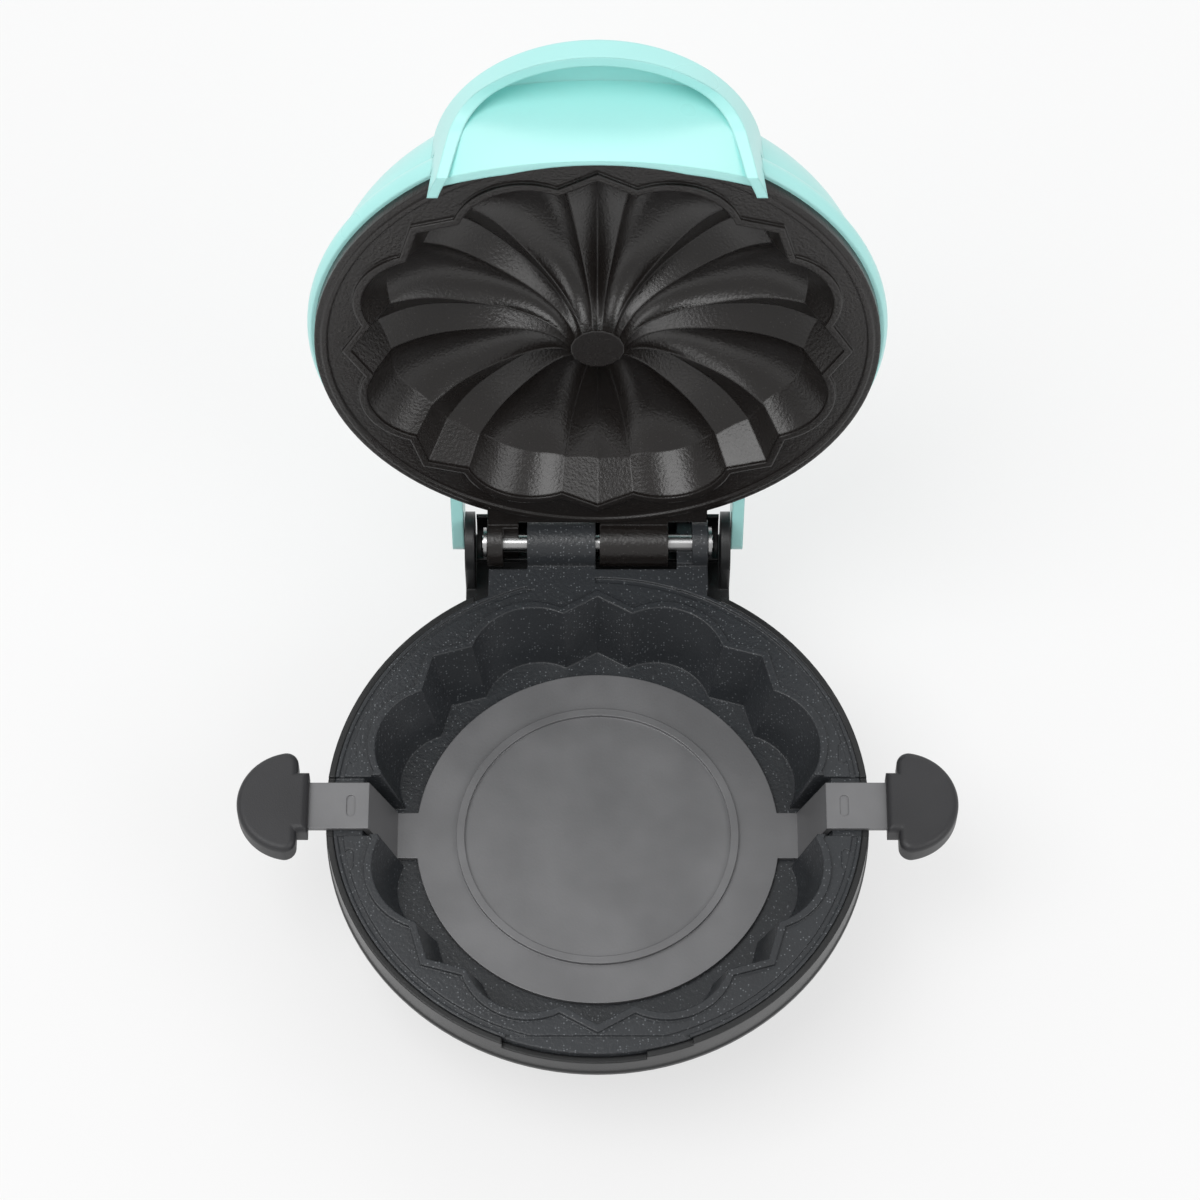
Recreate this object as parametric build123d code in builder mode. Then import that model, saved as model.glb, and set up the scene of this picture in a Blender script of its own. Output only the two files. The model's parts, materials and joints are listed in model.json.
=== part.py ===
from build123d import *
from math import asin, atan2, cos, degrees, radians, sin, sqrt, tan
import os

# Mini cake maker: a round cooker with a deep black base, a domed lid on a rear hinge,
# a flower shaped baking cavity and a fluted ring mould in the lid, and a lifting tray.
# Sizes are in millimetres. The origin is on the table under the middle of the base,
# +Z is up, +X is to the right and the hinge is at the back, towards +Y.

# Overall sizes
parting_height = 46.0
lid_radius = 69.4
base_setback = 2.9
base_radius = lid_radius - base_setback
lid_open_angle = 98.5

# Clearances
plate_gap = 2.4
running_fit = 0.05
seat_gap = 0.1
side_gap = 0.4

# Flower outline of both plates
cavity_tip_radius = 58.0
mould_overlap = 0.9
mould_tip_radius = cavity_tip_radius + mould_overlap
petal_count = 8
point_half_angle = 9.35
valley_share = 0.9276

# Hinge
hinge_standoff = 3.9
hinge_reach = lid_radius + hinge_standoff
knuckle_radius = 6.0
pin_radius = 2.3
pin_overhang = 1.6
clip_thickness = 0.8
clip_radius = 4.2
ear_inner = 31.0
ear_thickness = 2.4
ear_margin = 2.0
ear_radius = knuckle_radius + ear_margin
tab_gap = 0.9
tab_reach = hinge_reach - knuckle_radius - tab_gap
tab_half_width = 27.5
tab_root = 8.0
tab_notch = 20.0
arm_root = 6.0
knuckle_end = 0.3
knuckle_gap = 2.2
knuckle_split = 1.1
outer_knuckle_length = 7.8
inner_knuckle_length = 17.2
stop_step = 3.9

# Base housing
wall = 2.2
foot_height = 2.0
bowl_foot_inset = 21.0
bowl_foot_radius = base_radius - bowl_foot_inset
bowl_waist_inset = 8.9
bowl_waist_radius = base_radius - bowl_waist_inset
bowl_waist_share = 0.48
rim_height = 9.0
rim_undercut = 1.0
rim_bead = 0.3
rim_bead_height = 1.0
rim_bead_slope = 0.4
rim_drop = 0.3
floor_opening_radius = 31.0
cover_ledge = 3.0
block_depth_behind_hinge = 7.7
block_back = hinge_reach + block_depth_behind_hinge
block_top_drop = 7.0
block_corner = 6.0
notch_width = 45.5
notch_depth = 2.6
notch_step_width = 11.0
notch_step_depth = 1.2

# Base plate
rim_wall = 1.6
plate_radius = base_radius - rim_wall - seat_gap
plate_thickness = 3.0
cavity_depth = 18.0
cavity_floor_share = 0.90
cavity_mouth_wall = 2.5
cavity_back_radius = cavity_tip_radius + cavity_mouth_wall
cavity_foot_wall = 2.6
cavity_back_floor_radius = cavity_tip_radius * cavity_floor_share + cavity_foot_wall
cavity_floor_thickness = 2.8
bead_width = 2.0
bead_height = 0.9
ring_groove_inset = 1.6
ring_groove_radius = plate_radius - ring_groove_inset
ring_groove_width = 1.4
ring_groove_depth = 0.5
front_scoop_width = 44.0
front_scoop_margin = 2.4
front_scoop_reach = cavity_tip_radius + front_scoop_margin
front_scoop_length = 20.0
front_scoop_depth = 0.6
mark_length = 5.7
mark_width = 2.1
mark_depth = 0.35
mark_margin = 2.3
mark_x = cavity_tip_radius + mark_margin
mark_spacing = 14.5

# Lifting tray and grips
strap_width = 12.4
strap_thickness = 1.2
strap_channel_width = 16.0
strap_proud = 0.3
strap_bend_inset = 0.9
strap_bend_x = cavity_tip_radius - strap_bend_inset
strap_foot_inset = 0.6
strap_overlap = 4.0
tray_inset = 13.0
tray_radius = cavity_tip_radius - tray_inset
tray_rib_inset = 11.0
tray_rib_radius = tray_radius - tray_rib_inset
tray_rib_width = 2.0
tray_rib_height = 1.0
grip_standoff = 4.1
grip_inner_x = base_radius + grip_standoff
grip_neck_length = 2.7
grip_neck_width = 16.0
grip_cap_width = 27.0
grip_cap_length = 14.8
grip_thickness = 7.0
grip_corner = 3.0
grip_edge_round = 1.6
strap_in_grip = 10.0

# Lid plate and ring mould
lid_plate_inset = 1.9
lid_plate_radius = lid_radius - lid_plate_inset
mould_draft_depth = 16.0
mould_draft_share = 0.823
mould_wall = 2.7
mould_back_radius = mould_tip_radius + mould_wall
mould_back_waist_inset = 2.9
mould_back_mid_radius = mould_tip_radius - mould_back_waist_inset
mould_back_waist_height = 12.0
mould_back_top_inset = 13.9
mould_back_top_radius = mould_tip_radius - mould_back_top_inset
mould_roof = 2.6
flute_depth = 14.6
lid_post_length = 19.0
rim_ridge_inset = 2.3
rim_ridge_radius = lid_plate_radius - rim_ridge_inset
rim_ridge_width = 1.5
rim_ridge_height = 0.5

# Lid housing
collar_height = 8.2
collar_round = 1.0
collar_step = 3.4
dome_radius = lid_radius - collar_step
dome_rise = 40.0
dome_shoulder_radius = 28.0
lid_wall = 2.4
cheek_thickness = 3.0
cheek_past_axis = 7.4
cheek_root = 13.4
cheek_front = lid_radius - cheek_root
cheek_height = 15.0
cheek_corner = 5.0
cheek_slope_length = 14.0
lid_boss_radius = 5.4
lid_boss_depth = 6.0

# Lid handle: a hood with a curved shelf for the fingers
shelf_radius = 38.6
shelf_standoff = 12.6
shelf_reach = lid_radius + shelf_standoff
shelf_top = 21.6
shelf_thickness = 2.2
shelf_edge_round = 1.6
lip_height = 8.4
lip_corner = 7.0
hood_wall = 2.4
hood_foot_radius = 40.0
hood_foot_inset = 19.7
hood_foot_centre = lid_radius - hood_foot_inset
hood_root_inset = 39.4
hood_root = lid_radius - hood_root_inset
hood_side_setback = 2.6
hood_side_front = lid_radius - hood_side_setback
hood_leg_inset = 9.0
hood_leg_back = lid_radius - hood_leg_inset
hood_leg_drop = 7.5
hood_back_low = 2.0
panel_standoff = 1.4
panel_front = lid_radius + panel_standoff
panel_drop = 6.0
panel_curve_radius = 112.0

# Parts inside the housings
post_outer_radius = 3.8
post_pitch = 18.0
screw_radius = 1.5
screw_head_radius = 3.0
screw_head_height = 1.4
element_radius = 3.1
base_element_ring = 38.0
lid_element_ring = 34.0
element_sweep = 300.0
terminal_radius = 1.6
terminal_drop = 10.0
shield_thickness = 0.8
base_shield_radius = 49.0
lid_shield_radius = 46.0
shield_lip = 3.0
shield_drop = 9.5
thermostat_radius = 7.0
thermostat_height = 6.0
fuse_radius = 1.8
fuse_length = 14.0
terminal_block_size = (22.0, 12.0, 9.0)
inlet_bore = 3.4
inlet_radius = 5.2
inlet_flange_radius = 7.0
inlet_flange = 1.5
inlet_height = 16.0
lens_radius = 2.6
lens_pitch = 12.0
lens_reach = 40.0
lens_length = 6.0
lens_proud = 0.8
foot_radius = 5.0
foot_edge = 0.5
foot_front_spot = 28.0
foot_rear_x = 22.0
foot_rear_inset = 9.0
foot_rear_y = block_back - foot_rear_inset

# Places worked out from the sizes above
lid_z = parting_height + plate_gap
hinge_z = parting_height + plate_gap / 2
hinge_line = Axis((0, hinge_reach, hinge_z), (1, 0, 0))
hinge_slot_start = hinge_reach - ear_radius + side_gap
lid_arm_start = hinge_slot_start + seat_gap
base_arm_start = tab_reach - arm_root
floor_z = foot_height
rim_low_z = parting_height - rim_height
rim_top_z = parting_height - rim_drop
waist_z = parting_height * bowl_waist_share
plate_low_z = parting_height - plate_thickness
housing_seat_radius = plate_radius + seat_gap
block_top_z = hinge_z - knuckle_radius - block_top_drop / 2
block_half_width = ear_inner + ear_thickness
cavity_floor_z = parting_height - cavity_depth
cavity_back_z = cavity_floor_z - cavity_floor_thickness
bore_radius = pin_radius + running_fit
round_half_angle = 180 / petal_count - point_half_angle
channel_depth = strap_thickness - strap_proud + seat_gap
channel_start = strap_bend_x - strap_overlap
cover_top_z = floor_z + wall
mould_top = flute_depth + mould_roof
lid_post_top = mould_top + lid_post_length
lid_back_z = lid_z + plate_thickness
dome_spring_z = lid_z + collar_height
shoulder_centre = dome_radius - dome_shoulder_radius
crown_square = shoulder_centre**2 + dome_rise**2 - dome_shoulder_radius**2
crown_radius = crown_square / (2 * (dome_rise - dome_shoulder_radius))
crown_centre_z = dome_spring_z + dome_rise - crown_radius
shoulder_angle = degrees(atan2(crown_radius - dome_rise, shoulder_centre))
lens_rise = dome_rise - crown_radius + sqrt(crown_radius**2 - lens_reach**2)
lens_tilt = degrees(asin(lens_reach / crown_radius))
lens_plane = Plane(
    origin=(0, -lens_reach, dome_spring_z + lens_rise),
    x_dir=(1, 0, 0),
    z_dir=(0, -sin(radians(lens_tilt)), cos(radians(lens_tilt))),
)
post_spots = GridLocations(2 * post_pitch, 2 * post_pitch, 2, 2).locations


def polar(radius, angle):
    return (radius * cos(radians(angle)), radius * sin(radians(angle)))


def flower(tip_radius):
    """The closed outline: a straight sided point, then a round petal, eight times."""
    valley = tip_radius * valley_share
    step = 360 / petal_count
    with BuildSketch() as outline:
        with BuildLine():
            for petal in range(petal_count):
                start = petal * step
                low = polar(valley, start + point_half_angle)
                high = polar(valley, start + step - point_half_angle)
                crest = polar(tip_radius, start + step / 2)
                Line(polar(tip_radius, start), low)
                ThreePointArc(low, crest, high)
                Line(high, polar(tip_radius, start + step))
        make_face()
    return outline.sketch


cavity_mouth = flower(cavity_tip_radius)
cavity_bead = flower(cavity_tip_radius + bead_width)
cavity_floor = flower(cavity_tip_radius * cavity_floor_share)
mould_mouth = flower(mould_tip_radius)
mould_bead = flower(mould_tip_radius + bead_width)
mould_roof_outline = flower(mould_tip_radius * mould_draft_share)


def opened(part):
    """Turns a lid piece from its closed place to the open stop."""
    label = part.label
    turned = part.rotate(hinge_line, -lid_open_angle)
    turned.label = label
    return turned


# Knuckle spans along the hinge, from the left end to the right end.
lid_outer_start = -tab_half_width - knuckle_end
lid_outer_span = (lid_outer_start, lid_outer_start + outer_knuckle_length)
base_inner_span = (-knuckle_split / 2 - inner_knuckle_length, -knuckle_split / 2)
lid_inner_span = (knuckle_split / 2, knuckle_split / 2 + inner_knuckle_length)
base_outer_span = (lid_inner_span[1] + knuckle_gap, tab_half_width + knuckle_end)


def knuckle(span, arm_start, arm_low, arm_high):
    """One hinge barrel with its bore and the arm that joins it to the plate's tab."""
    length = span[1] - span[0]
    with BuildPart() as barrel:
        with BuildSketch(Plane.YZ.offset(span[0])):
            with Locations((hinge_reach, hinge_z)):
                Circle(knuckle_radius)
            with Locations(((arm_start + hinge_reach) / 2, (arm_low + arm_high) / 2)):
                Rectangle(hinge_reach - arm_start, arm_high - arm_low)
            with Locations((hinge_reach, hinge_z)):
                Circle(bore_radius, mode=Mode.SUBTRACT)
        extrude(amount=length)
    return barrel.part


base_knuckles = [
    knuckle(base_inner_span, base_arm_start, hinge_z - knuckle_radius, parting_height),
    knuckle(base_outer_span, base_arm_start, hinge_z - knuckle_radius, parting_height),
]
lid_knuckles = [
    knuckle(lid_inner_span, lid_arm_start, lid_z, hinge_z + knuckle_radius),
    knuckle(lid_outer_span, lid_arm_start, lid_z, hinge_z + knuckle_radius),
]


# Base housing: a deep bowl with a straight rim, and a block at the back that carries the ears.
with BuildPart() as base_housing:
    with BuildSketch(Plane.XZ):
        with BuildLine():
            Line((0, floor_z), (bowl_foot_radius, floor_z))
            ThreePointArc(
                (bowl_foot_radius, floor_z),
                (bowl_waist_radius, waist_z),
                (base_radius - rim_undercut, rim_low_z),
            )
            Polyline(
                (base_radius - rim_undercut, rim_low_z),
                (base_radius + rim_bead, rim_low_z),
                (base_radius + rim_bead, rim_low_z + rim_bead_height),
                (base_radius, rim_low_z + rim_bead_height + rim_bead_slope),
                (base_radius, rim_top_z),
                (0, rim_top_z),
                (0, floor_z),
            )
        make_face()
    revolve(axis=Axis.Z)
    with BuildSketch(Plane.XY.offset(floor_z)):
        with Locations((0, (hinge_reach + block_back) / 4)):
            Rectangle(2 * block_half_width, (3 * block_back - hinge_reach) / 2)
    extrude(amount=block_top_z - floor_z)
    block_edges = base_housing.edges().filter_by(Axis.Z).group_by(Axis.Y)[-1]
    fillet(block_edges, block_corner)
    with BuildSketch(Plane.YZ.offset(-block_half_width)):
        with Locations((hinge_reach, hinge_z)):
            Circle(ear_radius)
        with Locations((hinge_reach, (hinge_z + block_top_z) / 2)):
            Rectangle(2 * ear_radius, hinge_z - block_top_z + 1)
    extrude(amount=2 * block_half_width)
    with BuildSketch(Plane.YZ.offset(-ear_inner)):
        with Locations((hinge_reach, block_top_z + 15)):
            Rectangle(4 * ear_radius, 30)
    extrude(amount=2 * ear_inner, mode=Mode.SUBTRACT)
    with BuildSketch(Plane.XZ):
        with BuildLine():
            inner_foot = bowl_foot_radius - wall
            inner_rim = base_radius - rim_undercut - wall
            Line((0, cover_top_z), (inner_foot, cover_top_z))
            ThreePointArc(
                (inner_foot, cover_top_z),
                (bowl_waist_radius - wall, waist_z),
                (inner_rim, rim_low_z),
            )
            Polyline(
                (inner_rim, rim_low_z),
                (inner_rim, plate_low_z),
                (housing_seat_radius, plate_low_z),
                (housing_seat_radius, parting_height),
                (0, parting_height),
                (0, cover_top_z),
            )
        make_face()
    revolve(axis=Axis.Z, mode=Mode.SUBTRACT)
    with BuildSketch(Plane.XY.offset(cover_top_z)):
        with Locations((0, block_back / 2)):
            Rectangle(2 * (block_half_width - wall), block_back - 2 * wall)
    extrude(amount=block_top_z - wall - cover_top_z, mode=Mode.SUBTRACT)
    with BuildSketch(Plane.XY.offset(floor_z)):
        Circle(floor_opening_radius)
    extrude(amount=wall, mode=Mode.SUBTRACT)
    with BuildSketch(Plane.XY.offset(hinge_z - knuckle_radius - side_gap)):
        with Locations((0, hinge_reach)):
            Rectangle(2 * (tab_half_width + 1), 24)
    extrude(amount=20, mode=Mode.SUBTRACT)
    with BuildSketch(Plane.XY.offset(parting_height - notch_depth)):
        with Locations((-notch_step_width / 2, -base_radius)):
            Rectangle(notch_width - notch_step_width, 16)
    extrude(amount=10, mode=Mode.SUBTRACT)
    with BuildSketch(Plane.XY.offset(parting_height - notch_step_depth)):
        with Locations((0, -base_radius)):
            Rectangle(notch_width, 16)
    extrude(amount=10, mode=Mode.SUBTRACT)
    with BuildSketch(Plane.XY.offset(parting_height - channel_depth)):
        Rectangle(2 * base_radius + 4, strap_channel_width)
    extrude(amount=channel_depth, mode=Mode.SUBTRACT)
    with BuildSketch(Plane.XZ.offset(-block_back - 1)):
        with Locations((0, inlet_height)):
            Circle(inlet_radius + seat_gap)
    extrude(amount=wall + 2, mode=Mode.SUBTRACT)
base_housing.part.label = "base_housing"

# Bottom cover: a round plate in the floor opening, with vent slots and screw recesses.
with BuildPart() as base_bottom_cover:
    with BuildSketch(Plane.XY.offset(floor_z)):
        Circle(floor_opening_radius - seat_gap)
        with PolarLocations(floor_opening_radius * 0.52, 8):
            SlotOverall(8, 2.4, rotation=90, mode=Mode.SUBTRACT)
        with Locations(post_spots):
            Circle(screw_radius + seat_gap, mode=Mode.SUBTRACT)
    extrude(amount=wall)
    with BuildSketch(Plane.XY.offset(cover_top_z)):
        Circle(floor_opening_radius + cover_ledge)
        Circle(floor_opening_radius - 1, mode=Mode.SUBTRACT)
    extrude(amount=cover_ledge / 2)
base_bottom_cover.part.label = "base_bottom_cover"

# Rubber feet, two at the front and two under the hinge block.
with BuildPart() as base_feet:
    with BuildSketch():
        with Locations((0, -foot_front_spot)):
            with GridLocations(2 * foot_front_spot, 0, 2, 1):
                Circle(foot_radius)
        with Locations((0, foot_rear_y)):
            with GridLocations(2 * foot_rear_x, 0, 2, 1):
                Circle(foot_radius)
    extrude(amount=foot_height)
    chamfer(base_feet.faces().sort_by(Axis.Z)[0].edges(), foot_edge)
base_feet.part.label = "base_feet"

# Base plate: one casting with the flower shaped cavity, its bead, the hinge tab and two knuckles.
with BuildPart() as base_plate:
    with BuildSketch(Plane.XY.offset(parting_height - plate_thickness)):
        Circle(plate_radius)
    extrude(amount=plate_thickness)
    with BuildSketch(Plane.XY.offset(parting_height - plate_thickness)):
        Circle(cavity_back_radius)
    with BuildSketch(Plane.XY.offset(cavity_back_z)):
        Circle(cavity_back_floor_radius)
    loft()
    with BuildSketch(Plane.XY.offset(parting_height - plate_thickness)):
        with Locations((0, tab_reach - 4)):
            Rectangle(2 * tab_half_width, 8)
    extrude(amount=plate_thickness)
    with BuildSketch(Plane.XY.offset(parting_height)):
        add(cavity_bead)
    extrude(amount=bead_height)
    with BuildSketch(Plane.XY.offset(parting_height + bead_height)):
        add(cavity_mouth)
    with BuildSketch(Plane.XY.offset(cavity_floor_z)):
        add(cavity_floor)
    loft(ruled=True, mode=Mode.SUBTRACT)
    with BuildSketch(Plane.XY.offset(parting_height - ring_groove_depth)):
        Circle(ring_groove_radius + ring_groove_width / 2)
        Circle(ring_groove_radius - ring_groove_width / 2, mode=Mode.SUBTRACT)
    extrude(amount=ring_groove_depth, mode=Mode.SUBTRACT)
    with BuildSketch(Plane.XY.offset(parting_height - channel_depth)):
        for side in (-1, 1):
            with Locations((side * (channel_start + base_radius) / 2, 0)):
                Rectangle(base_radius - channel_start, strap_channel_width)
    extrude(amount=channel_depth + bead_height, mode=Mode.SUBTRACT)
    for side in (-1, 1):
        with BuildSketch(Plane.XZ.offset(-strap_channel_width / 2)):
            with BuildLine():
                Polyline(
                    (side * 40, parting_height),
                    (side * (strap_bend_x + strap_thickness / 2), parting_height),
                    (side * (strap_bend_x * cavity_floor_share + seat_gap), cavity_floor_z),
                    (side * 40, cavity_floor_z),
                    close=True,
                )
            make_face()
        extrude(amount=strap_channel_width, mode=Mode.SUBTRACT)
    with BuildSketch(Plane.XY.offset(parting_height - mark_depth)):
        with GridLocations(2 * mark_x, 2 * mark_spacing, 2, 2):
            SlotOverall(mark_length, mark_width, rotation=90)
    extrude(amount=mark_depth, mode=Mode.SUBTRACT)
    with BuildSketch(Plane.XY.offset(parting_height - front_scoop_depth)):
        with Locations((0, -front_scoop_reach - 10)):
            Rectangle(front_scoop_width, 20)
    extrude(amount=front_scoop_depth, mode=Mode.SUBTRACT)
    add(base_knuckles)
    with BuildSketch(Plane.YZ.offset(base_outer_span[0])):
        with Locations((hinge_reach, hinge_z + knuckle_radius)):
            Rectangle(3 * knuckle_radius, 2 * knuckle_radius)
    extrude(amount=stop_step, mode=Mode.SUBTRACT)
    with BuildSketch(Plane.XY.offset(cover_top_z)):
        with Locations(post_spots):
            Circle(post_outer_radius)
    extrude(amount=cavity_back_z - cover_top_z)
    with BuildSketch(Plane.XY.offset(cover_top_z)):
        with Locations(post_spots):
            Circle(screw_radius + running_fit)
    extrude(amount=12, mode=Mode.SUBTRACT)
base_plate.part.label = "base_plate"

# Screws that clamp the bottom cover to the posts of the base plate.
with BuildPart() as base_screws:
    with BuildSketch(Plane.XY.offset(floor_z)):
        with Locations(post_spots):
            Circle(screw_radius)
    extrude(amount=wall + 10)
    with BuildSketch(Plane.XY.offset(floor_z - screw_head_height)):
        with Locations(post_spots):
            Circle(screw_head_radius)
    extrude(amount=screw_head_height)
base_screws.part.label = "base_screws"


def heating_element(ring, z, direction):
    """A bent tube heater: most of a ring, with a straight terminal at each end."""
    gap = 360 - element_sweep
    start = polar(ring, 270 + gap / 2)
    with BuildPart() as heater:
        with BuildSketch(Plane(origin=(*start, z), x_dir=(*start, 0), z_dir=(-start[1], start[0], 0))):
            Circle(element_radius)
        revolve(axis=Axis.Z, revolution_arc=element_sweep)
        with BuildSketch(Plane.XY.offset(z)):
            with Locations(polar(ring, 270 + gap / 2), polar(ring, 270 - gap / 2)):
                Circle(terminal_radius)
        extrude(amount=direction * (element_radius + terminal_drop))
    return heater.part


# Heater under the cavity floor.
base_element_z = cavity_back_z - element_radius
base_heating_element = heating_element(base_element_ring, base_element_z, -1)
base_heating_element.label = "base_heating_element"


def heat_shield(radius, z, ring, lip_direction):
    """A thin dished disc with holes for the posts and the heater's terminals."""
    gap = 360 - element_sweep
    with BuildPart() as shield:
        with BuildSketch(Plane.XY.offset(z)):
            Circle(radius)
        extrude(amount=shield_thickness)
        with BuildSketch(Plane.XY.offset(z)):
            Circle(radius)
            Circle(radius - shield_thickness, mode=Mode.SUBTRACT)
        extrude(amount=lip_direction * shield_lip)
        with BuildSketch(Plane.XY.offset(z)):
            with Locations(post_spots):
                Circle(post_outer_radius + 2 * seat_gap)
            with Locations(polar(ring, 270 + gap / 2), polar(ring, 270 - gap / 2)):
                Circle(terminal_radius + 1.5)
        extrude(amount=shield_thickness, mode=Mode.SUBTRACT)
    return shield.part


base_shield_z = cavity_back_z - shield_drop
base_heat_shield = heat_shield(base_shield_radius, base_shield_z, base_element_ring, 1)
base_heat_shield.label = "base_heat_shield"

# Round thermostat screwed flat under the middle of the cavity.
with BuildPart() as thermostat:
    with BuildSketch(Plane.XY.offset(cavity_back_z - thermostat_height)):
        Circle(thermostat_radius)
    extrude(amount=thermostat_height)
    with BuildSketch(Plane.XY.offset(cavity_back_z - 1)):
        Rectangle(thermostat_radius * 3.2, thermostat_radius)
    extrude(amount=1)
thermostat.part.label = "thermostat"

# Thermal fuse lying on the shield.
with BuildPart() as thermal_fuse:
    with BuildSketch(Plane.YZ.offset(-fuse_length / 2)):
        with Locations((-post_pitch - 8, base_shield_z + shield_thickness + fuse_radius)):
            Circle(fuse_radius)
    extrude(amount=fuse_length)
thermal_fuse.part.label = "thermal_fuse"

# Terminal block on the floor of the hinge block.
block_length, block_depth, block_height = terminal_block_size
with BuildPart() as terminal_block:
    with BuildSketch(Plane.XY.offset(cover_top_z)):
        with Locations((0, block_back - 2 * wall - block_depth)):
            Rectangle(block_length, block_depth)
    extrude(amount=block_height)
    with BuildSketch(Plane.XY.offset(cover_top_z + block_height)):
        with Locations((0, block_back - 2 * wall - block_depth)):
            with GridLocations(block_length / 3, 0, 3, 1):
                Circle(1.8)
    extrude(amount=-3, mode=Mode.SUBTRACT)
terminal_block.part.label = "terminal_block"

# Cable inlet: a bushing in the back wall, without a cable.
with BuildPart() as cord_inlet:
    with BuildSketch(Plane.XZ.offset(-block_back)):
        with Locations((0, inlet_height)):
            Circle(inlet_radius)
            Circle(inlet_bore, mode=Mode.SUBTRACT)
    extrude(amount=wall + 1.5)
    with BuildSketch(Plane.XZ.offset(-block_back)):
        with Locations((0, inlet_height)):
            Circle(inlet_flange_radius)
            Circle(inlet_bore, mode=Mode.SUBTRACT)
    extrude(amount=-inlet_flange)
cord_inlet.part.label = "cord_inlet"

# Steel hinge pin with a retaining clip at each end.
pin_start = lid_outer_span[0] - pin_overhang
pin_end = base_outer_span[1] + pin_overhang
with BuildPart() as hinge_pin:
    with BuildSketch(Plane.YZ.offset(pin_start)):
        with Locations((hinge_reach, hinge_z)):
            Circle(pin_radius)
    extrude(amount=pin_end - pin_start)
    chamfer(hinge_pin.edges(), 0.3)
hinge_pin.part.label = "hinge_pin"

with BuildPart() as hinge_clips:
    for clip_x in (lid_outer_span[0] - clip_thickness - 0.2, base_outer_span[1] + 0.2):
        with BuildSketch(Plane.YZ.offset(clip_x)):
            with Locations((hinge_reach, hinge_z)):
                Circle(clip_radius)
                Circle(pin_radius + running_fit, mode=Mode.SUBTRACT)
            with Locations((hinge_reach, hinge_z - clip_radius)):
                Rectangle(pin_radius, clip_radius, mode=Mode.SUBTRACT)
        extrude(amount=clip_thickness)
hinge_clips.part.label = "hinge_clips"

# Lifting tray: one stamped strip with a round floor and two straps that rise out of the cavity.
strap_top_z = parting_height + strap_proud
tray_floor_z = cavity_floor_z + seat_gap
strap_foot_x = strap_bend_x * cavity_floor_share - 0.6
with BuildPart() as lifter_tray:
    with BuildSketch(Plane.XY.offset(tray_floor_z)):
        Circle(tray_radius)
    extrude(amount=strap_thickness)
    for side in (-1, 1):
        with BuildSketch(Plane.XZ.offset(-strap_width / 2)):
            with BuildLine():
                Polyline(
                    (side * (grip_inner_x + strap_in_grip), strap_top_z),
                    (side * (strap_bend_x - strap_thickness), strap_top_z),
                    (side * (strap_foot_x - strap_thickness), tray_floor_z + strap_thickness),
                    (side * (tray_radius - 4), tray_floor_z + strap_thickness),
                    (side * (tray_radius - 4), tray_floor_z),
                    (side * strap_foot_x, tray_floor_z),
                    (side * strap_bend_x, strap_top_z - strap_thickness),
                    (side * (grip_inner_x + strap_in_grip), strap_top_z - strap_thickness),
                    close=True,
                )
            make_face()
        extrude(amount=strap_width)
    with BuildSketch(Plane.XY.offset(tray_floor_z + strap_thickness)):
        Circle(tray_rib_radius + 1)
        Circle(tray_rib_radius - 1, mode=Mode.SUBTRACT)
    extrude(amount=tray_rib_height)
    with BuildSketch(Plane.XY.offset(strap_top_z - mark_depth)):
        with GridLocations(2 * mark_x, 0, 2, 1):
            SlotOverall(mark_length, mark_width, rotation=90)
    extrude(amount=mark_depth, mode=Mode.SUBTRACT)
lifter_tray.part.label = "lifter_tray"


def lifter_grip(side):
    """Mushroom shaped grip with a slot that the end of the strap sits in."""
    mid_z = parting_height + strap_proud - strap_thickness / 2
    cap_x = grip_inner_x + grip_neck_length
    half_cap = grip_cap_width / 2
    half_neck = grip_neck_width / 2
    outer_x = cap_x + grip_cap_length
    with BuildPart() as grip:
        with BuildSketch(Plane.XY.offset(mid_z - grip_thickness / 2)):
            with BuildLine():
                Line((side * grip_inner_x, -half_neck), (side * grip_inner_x, half_neck))
                Line((side * grip_inner_x, half_neck), (side * cap_x, half_neck))
                Line((side * cap_x, half_neck), (side * cap_x, half_cap))
                ThreePointArc((side * cap_x, half_cap), (side * outer_x, 0), (side * cap_x, -half_cap))
                Line((side * cap_x, -half_cap), (side * cap_x, -half_neck))
                Line((side * cap_x, -half_neck), (side * grip_inner_x, -half_neck))
            make_face()
        extrude(amount=grip_thickness)
        cap_corners = grip.edges().filter_by(Axis.Z).group_by(SortBy.DISTANCE)[-1]
        fillet(cap_corners, 3.0)
        fillet(grip.faces().filter_by(Axis.Z).edges(), 1.6)
        with BuildSketch(Plane.XY.offset(strap_top_z - strap_thickness - seat_gap)):
            with Locations((side * (grip_inner_x + strap_in_grip / 2), 0)):
                Rectangle(strap_in_grip + 2 * seat_gap, strap_width + 2 * seat_gap)
        extrude(amount=strap_thickness + 2 * seat_gap, mode=Mode.SUBTRACT)
    return grip.part


lifter_grip_left = lifter_grip(-1)
lifter_grip_left.label = "lifter_grip_left"
lifter_grip_right = lifter_grip(1)
lifter_grip_right.label = "lifter_grip_right"

# Lid plate: the flutes of the ring mould are cut by eight round and eight pointed troughs
# that run from the middle post to the wall, inside the drafted flower outline.
flute_stations = [
    (6.3, 0.5, 0.25),
    (8.6, 5.4, 3.8),
    (12.4, 9.2, 6.6),
    (18.0, 12.2, 8.8),
    (27.0, 14.2, 10.4),
    (38.0, flute_depth, 10.6),
    (48.0, 12.2, 8.0),
    (60.0, 7.0, 3.0),
]
flute_overlap = 1.12
mould_plane_x = (0, 1, 0)
mould_plane_z = (1, 0, 0)

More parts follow.
